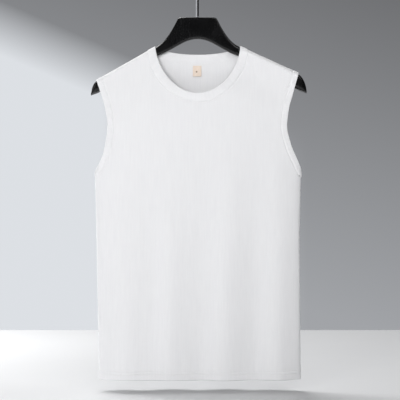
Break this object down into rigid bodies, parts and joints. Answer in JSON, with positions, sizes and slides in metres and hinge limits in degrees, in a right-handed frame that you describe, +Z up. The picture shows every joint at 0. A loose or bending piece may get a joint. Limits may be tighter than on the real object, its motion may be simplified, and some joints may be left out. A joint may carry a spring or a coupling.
{
  "type": "sleeveless t-shirt on a hanger",
  "caption": "Plain white sleeveless crew-neck t-shirt hung flat on a black contoured hanger with a metal hook, open at the neck, armholes and hem.",
  "frame": {"origin": "inside of the top of the hanger's hook, where a rail carries it", "axes": "+Z up; the garment's front faces -Y; X runs across the shoulders, with +X to the right as seen from the front"},
  "size_m": [0.4524, 0.0696, 0.8562],
  "materials": {
    "jersey": "matt white single jersey",
    "rib": "white ribbed knit",
    "trim": "white folded jersey",
    "label": "soft cream woven tape",
    "plastic": "smooth black, semi-gloss",
    "steel": "bright plated wire"
  },
  "bodies": {
    "root": {"front_panel": "jersey", "back_panel": "jersey", "neckband": "rib", "armhole_band_left": "trim", "armhole_band_right": "trim", "label": "label", "hanger": "plastic", "hook": "steel"}
  },
  "joints": []
}
